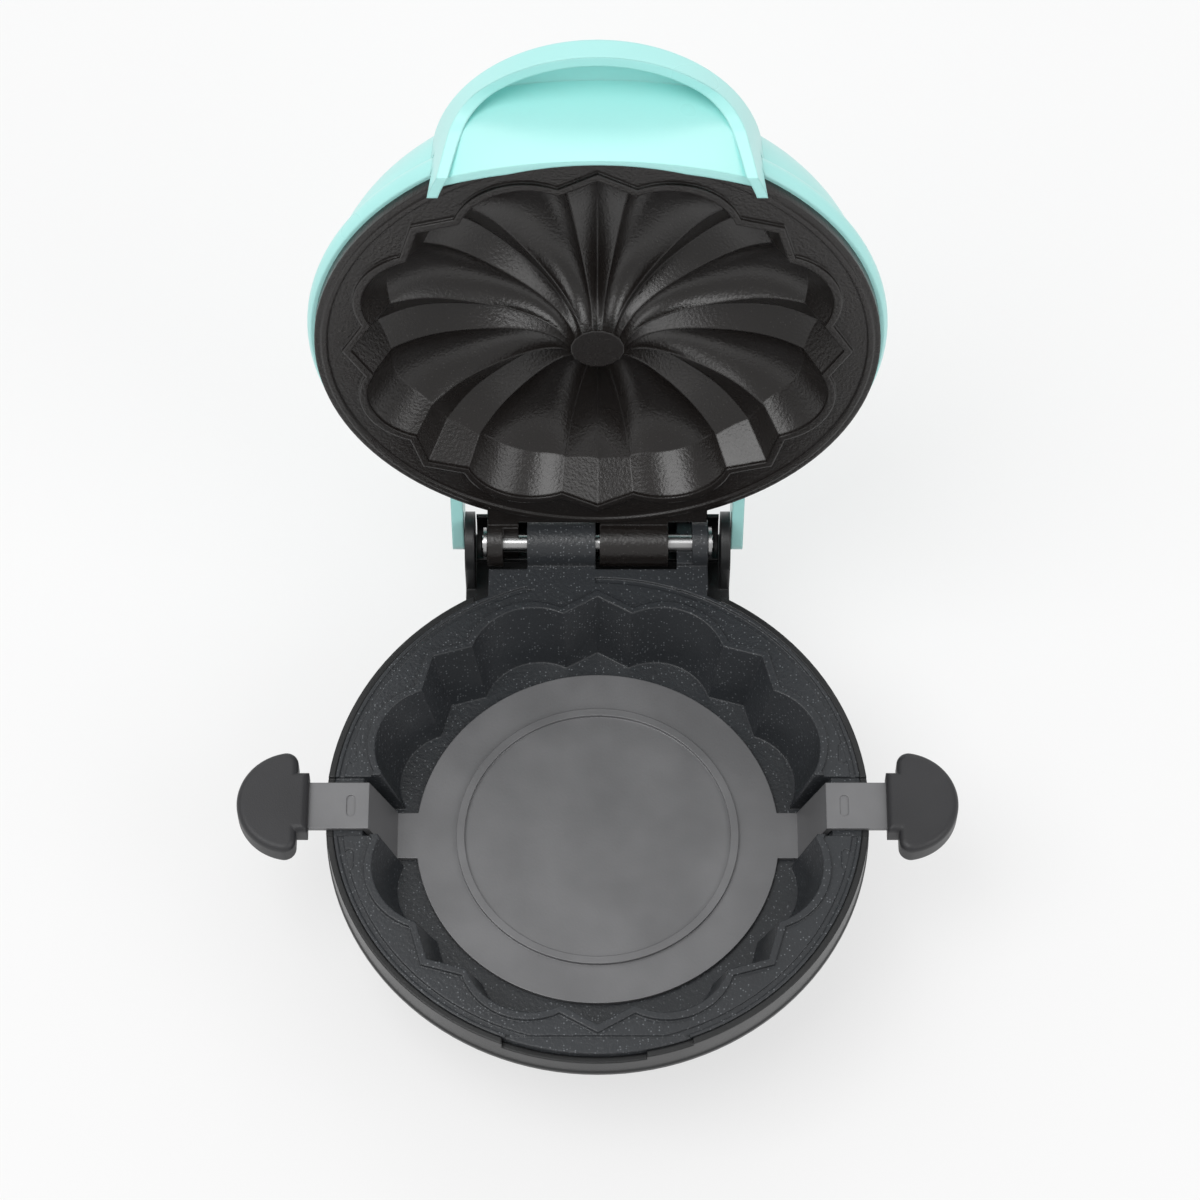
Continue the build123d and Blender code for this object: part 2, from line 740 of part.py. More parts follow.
with BuildPart() as round_flute:
    for station, deep, shallow in flute_stations:
        half = station * tan(radians(round_half_angle))
        with BuildSketch(Plane(origin=(station, 0, lid_z), x_dir=mould_plane_x, z_dir=mould_plane_z)):
            with BuildLine():
                ThreePointArc((-half, shallow), (0, deep), (half, shallow))
                Line((half, shallow), (half * flute_overlap, -0.5))
                Line((half * flute_overlap, -0.5), (-half * flute_overlap, -0.5))
                Line((-half * flute_overlap, -0.5), (-half, shallow))
            make_face()
    loft()

with BuildPart() as point_flute:
    for station, deep, shallow in flute_stations:
        half = station * tan(radians(point_half_angle))
        with BuildSketch(Plane(origin=(station, 0, lid_z), x_dir=mould_plane_x, z_dir=mould_plane_z)):
            with BuildLine():
                Polyline(
                    (-half, shallow),
                    (0, deep),
                    (half, shallow),
                    (half * flute_overlap, -0.5),
                    (-half * flute_overlap, -0.5),
                    close=True,
                )
            make_face()
    loft()

with BuildPart() as mould_form:
    with PolarLocations(0, petal_count):
        add(point_flute.part)
    with PolarLocations(0, petal_count, start_angle=180 / petal_count):
        add(round_flute.part)
    with BuildSketch(Plane.XY.offset(lid_z)):
        add(mould_mouth)
    with BuildSketch(Plane.XY.offset(lid_z + mould_draft_depth)):
        add(mould_roof_outline)
    loft(ruled=True, mode=Mode.INTERSECT)

with BuildPart() as lid_plate:
    with BuildSketch(Plane.XY.offset(lid_z)):
        Circle(lid_plate_radius)
        with Locations((0, tab_reach + 10)):
            Rectangle(4 * tab_half_width, 20, mode=Mode.SUBTRACT)
    extrude(amount=plate_thickness)
    with BuildSketch(Plane.XZ):
        with BuildLine():
            Polyline(
                (0, lid_z + plate_thickness),
                (mould_back_radius, lid_z + plate_thickness),
                (mould_back_mid_radius, lid_z + 12),
                (mould_back_top_radius, lid_z + mould_top),
                (0, lid_z + mould_top),
                close=True,
            )
        make_face()
    revolve(axis=Axis.Z)
    with BuildSketch(Plane.XY.offset(lid_z)):
        with Locations((0, tab_reach - 4)):
            Rectangle(2 * tab_half_width, 8)
    extrude(amount=plate_thickness)
    with BuildSketch(Plane.XY.offset(lid_z - bead_height)):
        add(mould_bead)
        add(mould_mouth, mode=Mode.SUBTRACT)
    extrude(amount=bead_height)
    add(mould_form.part, mode=Mode.SUBTRACT)
    with BuildSketch(Plane.XY.offset(lid_z - rim_ridge_height)):
        Circle(rim_ridge_radius + rim_ridge_width / 2)
        Circle(rim_ridge_radius - rim_ridge_width / 2, mode=Mode.SUBTRACT)
        with Locations((0, tab_reach + 10)):
            Rectangle(4 * tab_half_width, 20, mode=Mode.SUBTRACT)
    extrude(amount=rim_ridge_height)
    add(lid_knuckles)
    with BuildSketch(Plane.YZ.offset(lid_outer_span[1] - stop_step)):
        with Locations((hinge_reach, hinge_z - knuckle_radius)):
            Rectangle(3 * knuckle_radius, 2 * knuckle_radius)
    extrude(amount=stop_step, mode=Mode.SUBTRACT)
    with BuildSketch(Plane.XY.offset(lid_z + mould_top)):
        with Locations(post_spots):
            Circle(post_outer_radius)
    extrude(amount=lid_post_top - mould_top)
lid_plate.part.label = "lid_plate"

# Lid housing: a rounded collar on the back of the plate and a full dome above it,
# with two cheeks beside the hinge.
with BuildPart() as dome_solid:
    with BuildSketch(Plane.XZ):
        with BuildLine():
            collar_mid_z = (lid_back_z + dome_spring_z) / 2
            collar_foot = lid_radius - collar_round
            Line((0, lid_back_z), (collar_foot, lid_back_z))
            ThreePointArc((collar_foot, lid_back_z), (lid_radius, collar_mid_z), (collar_foot, dome_spring_z))
            Line((collar_foot, dome_spring_z), (dome_radius, dome_spring_z))
            CenterArc((shoulder_centre, dome_spring_z), dome_shoulder_radius, 0, shoulder_angle)
            CenterArc((0, crown_centre_z), crown_radius, shoulder_angle, 90 - shoulder_angle)
            Line((0, dome_spring_z + dome_rise), (0, lid_back_z))
        make_face()
    revolve(axis=Axis.Z)

with BuildPart() as dome_hollow:
    with BuildSketch(Plane.XZ):
        with BuildLine():
            hollow_radius = dome_radius - lid_wall
            Line((0, lid_back_z), (hollow_radius, lid_back_z))
            Line((hollow_radius, lid_back_z), (hollow_radius, dome_spring_z))
            CenterArc((shoulder_centre, dome_spring_z), dome_shoulder_radius - lid_wall, 0, shoulder_angle)
            CenterArc((0, crown_centre_z), crown_radius - lid_wall, shoulder_angle, 90 - shoulder_angle)
            Line((0, dome_spring_z + dome_rise - lid_wall), (0, lid_back_z))
        make_face()
    revolve(axis=Axis.Z)

cheek_x = block_half_width + side_gap
cheek_back = hinge_reach + cheek_past_axis
cheek_top_z = lid_z + cheek_height
with BuildPart() as lid_housing:
    add(dome_solid.part)
    for side in (-1, 1):
        start_x = cheek_x if side > 0 else -cheek_x - cheek_thickness
        with BuildSketch(Plane.YZ.offset(start_x)):
            with BuildLine():
                FilletPolyline(
                    (cheek_front, lid_z),
                    (cheek_back, lid_z),
                    (cheek_back, cheek_top_z - cheek_corner),
                    (cheek_back - cheek_slope_length, cheek_top_z),
                    (cheek_front, cheek_top_z),
                    radius=cheek_corner,
                )
                Line((cheek_front, cheek_top_z), (cheek_front, lid_z))
            make_face()
        extrude(amount=cheek_thickness)
    with BuildSketch(Plane.XY.offset(lid_z)):
        with Locations((0, hinge_slot_start + ear_radius)):
            Rectangle(2 * cheek_x, 2 * ear_radius)
    extrude(amount=collar_height + side_gap, mode=Mode.SUBTRACT)
    with BuildSketch(Plane.XY.offset(lid_z)):
        Circle(lid_plate_radius + seat_gap)
    extrude(amount=plate_thickness, mode=Mode.SUBTRACT)
    add(dome_hollow.part, mode=Mode.SUBTRACT)
    with BuildSketch(Plane.XY.offset(lid_z + lid_post_top - lid_boss_depth)):
        with Locations(post_spots):
            Circle(lid_boss_radius)
    extrude(until=Until.NEXT)
    with BuildSketch(Plane.XY.offset(lid_z + lid_post_top - lid_boss_depth)):
        with Locations(post_spots):
            Circle(post_outer_radius + seat_gap)
    extrude(amount=lid_boss_depth + seat_gap, mode=Mode.SUBTRACT)
    with BuildSketch(lens_plane):
        with GridLocations(lens_pitch, 0, 2, 1):
            Circle(lens_radius + seat_gap)
    extrude(amount=lens_length, both=True, mode=Mode.SUBTRACT)
lid_housing.part.label = "lid_housing"

# Handle: a hood on the front of the lid. Its walls lean out towards the feet, its shelf ends
# in a lip that the fingers lift, and a curved panel closes it below the shelf.
def hood_outline(radius, centre, z):
    """Plan of the hood at one height: a half round nose with straight sides behind it."""
    with BuildSketch(Plane.XY.offset(z)) as outline:
        with Locations((0, -centre)):
            Circle(radius)
        with Locations((0, -(centre + hood_root) / 2)):
            Rectangle(2 * radius, centre - hood_root)
    return outline.sketch


shelf_centre = shelf_reach - shelf_radius
shelf_top_z = lid_z + shelf_top
shelf_under_z = shelf_top_z - shelf_thickness
hood_foot_z = lid_z - hood_leg_drop
lip_low_z = shelf_top_z - lip_height

with BuildPart() as hood_form:
    add(hood_outline(hood_foot_radius, hood_foot_centre, hood_foot_z))
    add(hood_outline(shelf_radius, shelf_centre, shelf_top_z))
    loft(ruled=True)
    fillet(hood_form.faces().sort_by(Axis.Z)[-1].edges(), shelf_edge_round)

with BuildPart() as hood_hollow:
    add(hood_outline(hood_foot_radius - hood_wall, hood_foot_centre, hood_foot_z))
    add(hood_outline(shelf_radius - hood_wall, shelf_centre, shelf_under_z))
    loft(ruled=True)

with BuildPart() as hood_panel:
    with BuildSketch(Plane.XY.offset(lid_z - panel_drop)):
        with Locations((0, panel_curve_radius - panel_front)):
            Circle(panel_curve_radius)
            Circle(panel_curve_radius - hood_wall, mode=Mode.SUBTRACT)
        with Locations((0, 0)):
            Rectangle(4 * panel_curve_radius, 2 * hood_root, mode=Mode.SUBTRACT)
    extrude(amount=panel_drop + shelf_top - shelf_thickness)
    add(hood_form.part, mode=Mode.INTERSECT)

with BuildPart() as lid_handle:
    add(hood_form.part)
    add(hood_hollow.part, mode=Mode.SUBTRACT)
    with BuildSketch(Plane.YZ.offset(-2 * hood_foot_radius)):
        with BuildLine():
            FilletPolyline(
                (-hood_side_front, hood_foot_z),
                (-hood_side_front, lip_low_z),
                (-2 * shelf_reach, lip_low_z),
                radius=lip_corner,
            )
            Line((-2 * shelf_reach, lip_low_z), (-2 * shelf_reach, hood_foot_z))
            Line((-2 * shelf_reach, hood_foot_z), (-hood_side_front, hood_foot_z))
        make_face()
    extrude(amount=4 * hood_foot_radius, mode=Mode.SUBTRACT)
    with BuildSketch(Plane.YZ.offset(-2 * hood_foot_radius)):
        with BuildLine():
            Polyline(
                (0, hood_foot_z),
                (-hood_leg_back, hood_foot_z),
                (-hood_leg_back, lid_z + hood_back_low),
                (0, lid_z + hood_back_low),
                close=True,
            )
        make_face()
    extrude(amount=4 * hood_foot_radius, mode=Mode.SUBTRACT)
    add(hood_panel.part)
    with BuildSketch(Plane.XY.offset(hood_foot_z)):
        Circle(lid_radius + seat_gap)
    extrude(amount=dome_spring_z - hood_foot_z, mode=Mode.SUBTRACT)
    add(dome_solid.part, mode=Mode.SUBTRACT)
lid_handle.part.label = "lid_handle"

# Heater and shield behind the ring mould.
lid_element_z = lid_z + mould_top + element_radius
lid_heating_element = heating_element(lid_element_ring, lid_element_z, 1)
lid_heating_element.label = "lid_heating_element"

lid_shield_z = lid_z + mould_top + shield_drop
lid_heat_shield = heat_shield(lid_shield_radius, lid_shield_z, lid_element_ring, -1)
lid_heat_shield.label = "lid_heat_shield"

# Power and ready lights on the slope of the dome.
with BuildPart() as indicator_lenses:
    with BuildSketch(lens_plane.offset(lens_proud)):
        with GridLocations(lens_pitch, 0, 2, 1):
            Circle(lens_radius)
    extrude(amount=-lens_length)
    chamfer(indicator_lenses.faces().sort_by(Axis(lens_plane.origin, lens_plane.z_dir))[-2:].edges(), 0.4)
indicator_lenses.part.label = "indicator_lenses"

root_parts = [
    base_housing.part,
    base_bottom_cover.part,
    base_feet.part,
    base_plate.part,
    base_screws.part,
    base_heating_element,
    base_heat_shield,
    thermostat.part,
    thermal_fuse.part,
    terminal_block.part,
    cord_inlet.part,
    hinge_pin.part,
    hinge_clips.part,
    lifter_tray.part,
    lifter_grip_left,
    lifter_grip_right,
]
lid_parts = [
    opened(lid_plate.part),
    opened(lid_housing.part),
    opened(lid_handle.part),
    opened(lid_heating_element),
    opened(lid_heat_shield),
    opened(indicator_lenses.part),
]

os.makedirs("parts", exist_ok=True)
for part in root_parts + lid_parts:
    export_step(part, f"parts/{part.label}.step")
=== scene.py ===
"""Mini cake maker: finishes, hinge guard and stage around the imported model.

Every moving and fitting piece comes from the frame. The operators give the pieces their
finishes, add the guard behind the hinge that the frame leaves out, and set the stage.
"""
import json
import math

import bmesh
import bpy
from bpy.props import FloatProperty, FloatVectorProperty, PointerProperty
from mathutils import Matrix, Vector


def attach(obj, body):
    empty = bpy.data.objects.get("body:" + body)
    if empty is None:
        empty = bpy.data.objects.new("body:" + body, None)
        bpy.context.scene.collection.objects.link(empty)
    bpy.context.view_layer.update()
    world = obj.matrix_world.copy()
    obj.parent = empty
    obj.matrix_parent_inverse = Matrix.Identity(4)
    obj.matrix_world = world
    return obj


bl_info = {
    "name": "Mini cake maker",
    "version": (1, 0, 0),
    "blender": (4, 5, 0),
    "location": "3D View > Sidebar > Cake maker",
    "description": "Finishes and fine pieces of a small round cake maker with a hinged lid",
    "category": "Object",
}

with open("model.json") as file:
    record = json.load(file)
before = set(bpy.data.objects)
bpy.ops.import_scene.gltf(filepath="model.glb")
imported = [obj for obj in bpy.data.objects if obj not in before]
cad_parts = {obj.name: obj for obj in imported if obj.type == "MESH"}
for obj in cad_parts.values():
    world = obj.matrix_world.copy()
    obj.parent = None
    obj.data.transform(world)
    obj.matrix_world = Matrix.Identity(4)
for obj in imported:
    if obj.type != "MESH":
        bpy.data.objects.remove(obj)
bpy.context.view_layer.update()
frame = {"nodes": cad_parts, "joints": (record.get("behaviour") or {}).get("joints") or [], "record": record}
NODES = frame["nodes"]
SLOTS = {part["node"]: part["material_slot"] for part in frame["record"]["subparts"]}
HINGE = next(joint for joint in frame["joints"] if joint["name"] == "lid_hinge")
HINGE_POINT = Vector(HINGE["pos_m"])

# The guard's arc about the hinge, in degrees from +Y towards +Z. Its upper edge, at 18 degrees,
# reaches into the plate of the open lid.
GUARD_START = -100.0
GUARD_SWEEP = 118.0
GUARD_STEPS = 32
MERGE_DISTANCE = 0.000001
EDGE_SAMPLES = 6

FLOOR_HALF_WIDTH = 6.0
FLOOR_GLOW = 0.62
WORLD_STRENGTH = 0.55
CAMERA_ELEVATION = 61.11
CAMERA_DISTANCE = 1.0048
CAMERA_AIM = (0.0006, 0.0575, 0.046)
CAMERA_SENSOR = 36.0
CAMERA_LENS = 119.92


def colour_property(name, description, default):
    """A colour that a user can pick."""
    return FloatVectorProperty(
        name=name,
        description=description,
        subtype="COLOR",
        size=3,
        min=0.0,
        max=1.0,
        default=default,
    )


def length_property(name, description, default):
    """A length in metres that a user can change."""
    return FloatProperty(
        name=name,
        description=description,
        subtype="DISTANCE",
        unit="LENGTH",
        min=0.0,
        default=default,
    )


class CakeMakerColours(bpy.types.PropertyGroup):
    """Colours of the visible finishes."""

    lid_shell: colour_property(
        "Lid shell", "Colour of the dome and the handle", (0.44, 0.84, 0.81)
    )
    base_shell: colour_property(
        "Base shell", "Colour of the base housing", (0.0115, 0.012, 0.0125)
    )
    grips: colour_property(
        "Grips", "Colour of the two lifting grips", (0.022, 0.022, 0.024)
    )
    base_plate: colour_property(
        "Base plate", "Colour of the coating in the base", (0.030, 0.033, 0.037)
    )
    base_specks: colour_property(
        "Base specks", "Colour of the specks in the base coating", (0.14, 0.15, 0.16)
    )
    lid_plate: colour_property(
        "Lid plate", "Colour of the coating in the lid", (0.0105, 0.0082, 0.0072)
    )
    lid_specks: colour_property(
        "Lid specks", "Colour of the specks in the lid coating", (0.035, 0.032, 0.03)
    )
    strap: colour_property(
        "Lifting strap", "Colour of the lifting tray and its straps", (0.19, 0.19, 0.195)
    )


class CakeMakerSizes(bpy.types.PropertyGroup):
    """Sizes of the pieces that the operators add."""

    moulded_edge: length_property(
        "Moulded edge", "Radius at the edges of the plastic pieces", 0.0007
    )
    cast_edge: length_property(
        "Cast edge", "Radius at the edges of the cast plates", 0.0006
    )
    guard_radius: length_property(
        "Guard radius", "Inner radius of the guard behind the knuckles", 0.0066
    )
    guard_wall: length_property(
        "Guard wall", "Wall of the guard behind the knuckles", 0.0009
    )
    guard_half_width: length_property(
        "Guard half width", "Half of the guard's length along the hinge", 0.0307
    )


def new_material(name):
    """A material with one Principled shader, and its node tree."""
    material = bpy.data.materials.new(name)
    material.use_nodes = True
    return material, material.node_tree, material.node_tree.nodes["Principled BSDF"]


def place_node(tree, kind, x, y, **values):
    """Adds a node and sets its named properties."""
    node = tree.nodes.new(kind)
    node.location = (x, y)
    for key, value in values.items():
        setattr(node, key, value)
    return node


def new_group(name, inputs, outputs):
    """An empty shader group with the given float, colour and vector sockets."""
    group = bpy.data.node_groups.new(name, "ShaderNodeTree")
    for label, kind, default in inputs:
        socket = group.interface.new_socket(label, in_out="INPUT", socket_type=kind)
        if default is not None:
            socket.default_value = default
    for label, kind in outputs:
        group.interface.new_socket(label, in_out="OUTPUT", socket_type=kind)
    entry = group.nodes.new("NodeGroupInput")
    entry.location = (-900, 0)
    result = group.nodes.new("NodeGroupOutput")
    result.location = (700, 0)
    return group, entry, result


def surface_grain_group():
    """Fine grain: a height, a roughness and a colour that vary with two noises."""
    group, entry, result = new_group(
        "surface grain",
        [
            ("Color", "NodeSocketColor", (0.5, 0.5, 0.5, 1.0)),
            ("Tint", "NodeSocketColor", (0.5, 0.5, 0.5, 1.0)),
            ("Grain Scale", "NodeSocketFloat", 2000.0),
            ("Patch Scale", "NodeSocketFloat", 60.0),
            ("Rough Low", "NodeSocketFloat", 0.3),
            ("Rough High", "NodeSocketFloat", 0.4),
        ],
        [
            ("Color", "NodeSocketColor"),
            ("Roughness", "NodeSocketFloat"),
            ("Height", "NodeSocketFloat"),
        ],
    )
    place = place_node(group, "ShaderNodeTexCoord", -900, -250)
    grain = place_node(group, "ShaderNodeTexNoise", -600, 150)
    grain.inputs["Detail"].default_value = 3.0
    patch = place_node(group, "ShaderNodeTexNoise", -600, -150)
    patch.inputs["Detail"].default_value = 2.0
    mix = place_node(group, "ShaderNodeMix", 0, 200, data_type="RGBA")
    ramp = place_node(group, "ShaderNodeMapRange", -250, -50)
    ramp.inputs["From Min"].default_value = 0.35
    ramp.inputs["From Max"].default_value = 0.65
    rough = place_node(group, "ShaderNodeMapRange", 0, -150)
    rough.inputs["From Min"].default_value = 0.3
    rough.inputs["From Max"].default_value = 0.7
    link = group.links.new
    link(place.outputs["Object"], grain.inputs["Vector"])
    link(place.outputs["Object"], patch.inputs["Vector"])
    link(entry.outputs["Grain Scale"], grain.inputs["Scale"])
    link(entry.outputs["Patch Scale"], patch.inputs["Scale"])
    link(patch.outputs["Fac"], ramp.inputs["Value"])
    link(ramp.outputs["Result"], mix.inputs["Factor"])
    link(entry.outputs["Color"], mix.inputs["A"])
    link(entry.outputs["Tint"], mix.inputs["B"])
    link(patch.outputs["Fac"], rough.inputs["Value"])
    link(entry.outputs["Rough Low"], rough.inputs["To Min"])
    link(entry.outputs["Rough High"], rough.inputs["To Max"])
    link(mix.outputs["Result"], result.inputs["Color"])
    link(rough.outputs["Result"], result.inputs["Roughness"])
    link(grain.outputs["Fac"], result.inputs["Height"])
    return group


def speckle_group():
    """Pale specks of a sprayed coating: a mask, and a height that follows it."""
    group, entry, result = new_group(
        "coating specks",
        [
            ("Speck Scale", "NodeSocketFloat", 1500.0),
            ("Amount", "NodeSocketFloat", 0.3),
        ],
        [("Mask", "NodeSocketFloat"), ("Height", "NodeSocketFloat")],
    )
    place = place_node(group, "ShaderNodeTexCoord", -900, -250)
    cells = place_node(group, "ShaderNodeTexVoronoi", -600, 100)
    tone = place_node(group, "ShaderNodeSeparateColor", -400, -100)
    pick = place_node(group, "ShaderNodeMath", -200, -100, operation="LESS_THAN")
    dot = place_node(group, "ShaderNodeMapRange", -200, 150)
    dot.inputs["From Min"].default_value = 0.34
    dot.inputs["From Max"].default_value = 0.16
    both = place_node(group, "ShaderNodeMath", 100, 50, operation="MULTIPLY")
    link = group.links.new
    link(place.outputs["Object"], cells.inputs["Vector"])
    link(entry.outputs["Speck Scale"], cells.inputs["Scale"])
    link(cells.outputs["Color"], tone.inputs["Color"])
    link(tone.outputs["Red"], pick.inputs[0])
    link(entry.outputs["Amount"], pick.inputs[1])
    link(cells.outputs["Distance"], dot.inputs["Value"])
    link(dot.outputs["Result"], both.inputs[0])
    link(pick.outputs["Value"], both.inputs[1])
    link(both.outputs["Value"], result.inputs["Mask"])
    link(cells.outputs["Distance"], result.inputs["Height"])
    return group


def bump_to(tree, shader, height, distance, edge):
    """Feeds a height through a Bump node into the shader's normal, over softly rounded edges."""
    bump = place_node(tree, "ShaderNodeBump", -250, -300)
    bump.inputs["Distance"].default_value = distance
    bump.inputs["Strength"].default_value = 1.0
    if edge:
        round_edge = place_node(tree, "ShaderNodeBevel", -500, -450, samples=EDGE_SAMPLES)
        round_edge.inputs["Radius"].default_value = edge
        tree.links.new(round_edge.outputs["Normal"], bump.inputs["Normal"])
    tree.links.new(height, bump.inputs["Height"])
    tree.links.new(bump.outputs["Normal"], shader.inputs["Normal"])


def grained_material(name, group, color, tint, rough, grain, patch, bump, edge=0.0, **constants):
    """A finish from the surface grain group, with constants set on the shader itself."""
    material, tree, shader = new_material(name)
    effect = place_node(tree, "ShaderNodeGroup", -600, 0)
    effect.node_tree = group
    effect.inputs["Color"].default_value = (*color, 1.0)
    effect.inputs["Tint"].default_value = (*tint, 1.0)
    effect.inputs["Grain Scale"].default_value = grain
    effect.inputs["Patch Scale"].default_value = patch
    effect.inputs["Rough Low"].default_value = rough[0]
    effect.inputs["Rough High"].default_value = rough[1]
    tree.links.new(effect.outputs["Color"], shader.inputs["Base Color"])
    tree.links.new(effect.outputs["Roughness"], shader.inputs["Roughness"])
    bump_to(tree, shader, effect.outputs["Height"], bump, edge)
    for key, value in constants.items():
        shader.inputs[key].default_value = value
    return material


def coating_material(
    name, grain_group, specks, color, speck_color, rough, amount, scale, bump, edge, **constants
):
    """A sprayed non-stick coating: grain below, pale specks above."""
    material, tree, shader = new_material(name)
    base = place_node(tree, "ShaderNodeGroup", -900, 100)
    base.node_tree = grain_group
    base.inputs["Color"].default_value = (*color, 1.0)
    base.inputs["Tint"].default_value = (*[c * 0.8 for c in color], 1.0)
    base.inputs["Grain Scale"].default_value = scale * 0.8
    base.inputs["Patch Scale"].default_value = 45.0
    base.inputs["Rough Low"].default_value = rough[0]
    base.inputs["Rough High"].default_value = rough[1]
    dots = place_node(tree, "ShaderNodeGroup", -900, -250)
    dots.node_tree = specks
    dots.inputs["Speck Scale"].default_value = scale
    dots.inputs["Amount"].default_value = amount
    mix = place_node(tree, "ShaderNodeMix", -500, 150, data_type="RGBA")
    mix.inputs["B"].default_value = (*speck_color, 1.0)
    tree.links.new(dots.outputs["Mask"], mix.inputs["Factor"])
    tree.links.new(base.outputs["Color"], mix.inputs["A"])
    tree.links.new(mix.outputs["Result"], shader.inputs["Base Color"])
    tree.links.new(base.outputs["Roughness"], shader.inputs["Roughness"])
    bump_to(tree, shader, base.outputs["Height"], bump, edge)
    for key, value in constants.items():
        shader.inputs[key].default_value = value
    return material


def shade(color, share):
    """The colour times a share, for the second tone of a finish."""
    return tuple(channel * share for channel in color)


MATERIALS = {}


def finish_pieces(slot_name):
    """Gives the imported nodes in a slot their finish."""
    for node, slot in SLOTS.items():
        if slot == slot_name:
            NODES[node].data.materials.clear()
            NODES[node].data.materials.append(MATERIALS[slot_name])


def shared_groups():
    """The two effect groups, made once."""
    made = bpy.data.node_groups
    grain = made.get("surface grain") or surface_grain_group()
    specks = made.get("coating specks") or speckle_group()
    return grain, specks


def new_piece(name, form, body, slot_name):
    """Turns a finished form into a piece that rides on a body of the frame."""
    mesh = bpy.data.meshes.new(name)
    bmesh.ops.recalc_face_normals(form, faces=form.faces)
    form.to_mesh(mesh)
    form.free()
    piece = bpy.data.objects.new(name, mesh)
    bpy.context.scene.collection.objects.link(piece)
    mesh.materials.append(MATERIALS[slot_name])
    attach(piece, body)
    return piece


class CAKEMAKER_OT_lid_shell(bpy.types.Operator):
    """Satin plastic on the dome, its cheeks and the handle, and red lenses in it"""

    bl_idname = "cakemaker.lid_shell"
    bl_label = "Lid shell"

    def execute(self, context):
        colours, sizes = context.scene.cake_colours, context.scene.cake_sizes
        grain = shared_groups()[0]
        MATERIALS["aqua_plastic"] = grained_material(
            "aqua plastic",
            grain,
            colours.lid_shell,
            shade(colours.lid_shell, 0.97),
            (0.27, 0.32),
            900.0,
            30.0,
            0.00002,
            sizes.moulded_edge,
            **{"Specular IOR Level": 0.45},
        )
        MATERIALS["lens_clear"] = grained_material(
            "lens red",
            grain,
            (0.50, 0.02, 0.015),
            (0.44, 0.02, 0.015),
            (0.08, 0.12),
            300.0,
            60.0,
            0.000005,
            **{"Coat Weight": 0.4},
        )
        for slot in ("aqua_plastic", "lens_clear"):
            finish_pieces(slot)
        return {"FINISHED"}


class CAKEMAKER_OT_base_shell(bpy.types.Operator):
    """Dark moulded plastic on the base housing and cover, and rubber on the feet and inlet"""

    bl_idname = "cakemaker.base_shell"
    bl_label = "Base shell"

    def execute(self, context):
        colours, sizes = context.scene.cake_colours, context.scene.cake_sizes
        grain = shared_groups()[0]
        MATERIALS["black_plastic"] = grained_material(
            "black plastic",
            grain,
            colours.base_shell,
            shade(colours.base_shell, 1.3),
            (0.30, 0.38),
            3500.0,
            50.0,
            0.00004,
            sizes.moulded_edge,
        )
        MATERIALS["foot_rubber"] = grained_material(
            "foot rubber",
            grain,
            (0.02, 0.02, 0.02),
            (0.026, 0.026, 0.026),
            (0.65, 0.75),
            2500.0,
            60.0,
            0.00005,
        )
        MATERIALS["inlet_rubber"] = grained_material(
            "inlet rubber",
            grain,
            (0.016, 0.016, 0.016),
            (0.022, 0.022, 0.022),
            (0.6, 0.7),
            2500.0,
            60.0,
            0.00005,
        )
        for slot in ("black_plastic", "foot_rubber", "inlet_rubber"):
            finish_pieces(slot)
        return {"FINISHED"}


class CAKEMAKER_OT_plates(bpy.types.Operator):
    """Sprayed non-stick coatings on the cavity plate and on the ring mould"""

    bl_idname = "cakemaker.plates"
    bl_label = "Cooking plates"

    def execute(self, context):
        colours, sizes = context.scene.cake_colours, context.scene.cake_sizes
        grain, specks = shared_groups()
        MATERIALS["grey_coating"] = coating_material(
            "grey speckled coating",
            grain,
            specks,
            colours.base_plate,
            colours.base_specks,
            (0.28, 0.36),
            0.30,
            1500.0,
            0.00012,
            sizes.cast_edge,
        )
        MATERIALS["dark_coating"] = coating_material(
            "dark coating",
            grain,
            specks,
            colours.lid_plate,
            colours.lid_specks,
            (0.24, 0.32),
            0.12,
            1700.0,
            0.0001,
            sizes.cast_edge,
            **{"Specular IOR Level": 0.6},
        )
        for slot in ("grey_coating", "dark_coating"):
            finish_pieces(slot)
        return {"FINISHED"}


class CAKEMAKER_OT_lifter(bpy.types.Operator):
    """Coated steel on the lifting tray and matte plastic on its two grips"""

    bl_idname = "cakemaker.lifter"
    bl_label = "Lifting tray and grips"

    def execute(self, context):
        colours, sizes = context.scene.cake_colours, context.scene.cake_sizes
        grain = shared_groups()[0]
        MATERIALS["grip_plastic"] = grained_material(
            "grip plastic",
            grain,
            colours.grips,
            shade(colours.grips, 1.2),
            (0.42, 0.5),
            3000.0,
            60.0,
            0.00005,
            sizes.moulded_edge,
        )
        MATERIALS["brushed_strap"] = grained_material(
            "coated strap steel",
            grain,
            colours.strap,
            shade(colours.strap, 1.15),
            (0.36, 0.44),
            1500.0,
            60.0,
            0.00002,
            0.0003,
            Metallic=0.5,
        )
        for slot in ("grip_plastic", "brushed_strap"):
            finish_pieces(slot)
        return {"FINISHED"}


